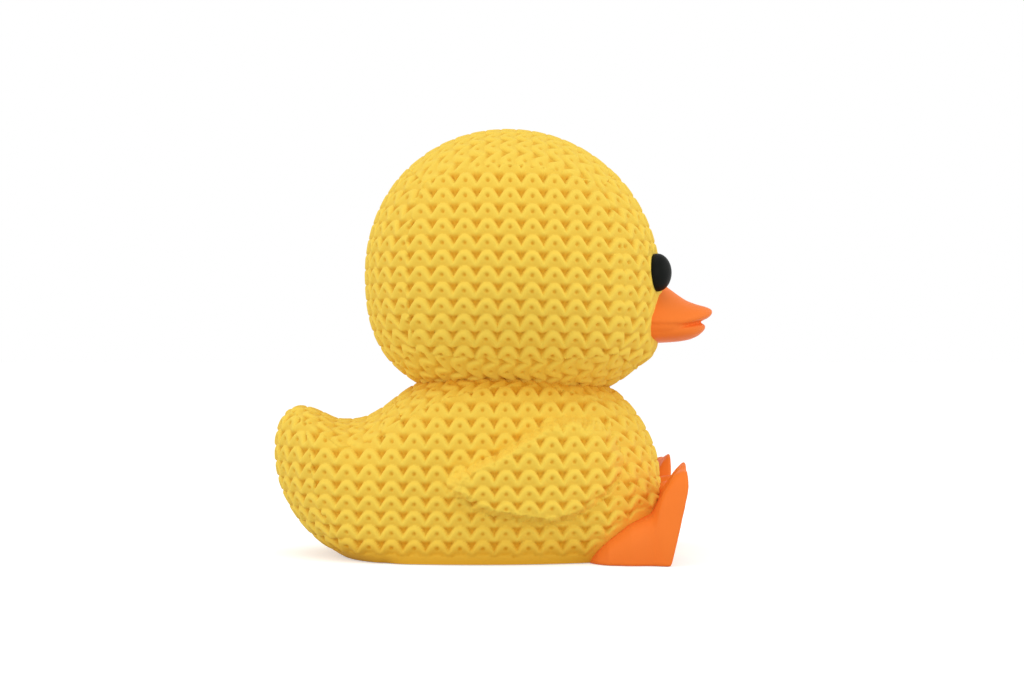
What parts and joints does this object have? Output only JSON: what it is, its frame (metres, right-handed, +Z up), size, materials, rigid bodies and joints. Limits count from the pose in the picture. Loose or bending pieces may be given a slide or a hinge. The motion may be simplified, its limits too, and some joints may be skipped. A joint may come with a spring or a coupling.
{
  "type": "rubber duck",
  "caption": "Sitting rubber duck cast as a hollow vinyl skin with a knitted relief, folded wings, short bill, domed eyes and webbed feet turned up in front.",
  "frame": {"origin": "on the ground, under the middle of the duck's box", "axes": "+X towards the bill, +Y to the duck's left, +Z up"},
  "size_m": [0.0872, 0.0606, 0.0846],
  "materials": {
    "yellow_vinyl": "satin soft vinyl, dyed through",
    "orange_paint": "satin paint on the bill and feet",
    "black_paint": "matte paint on the eyes"
  },
  "bodies": {
    "root": {"duck_shell": "yellow_vinyl"}
  },
  "joints": []
}
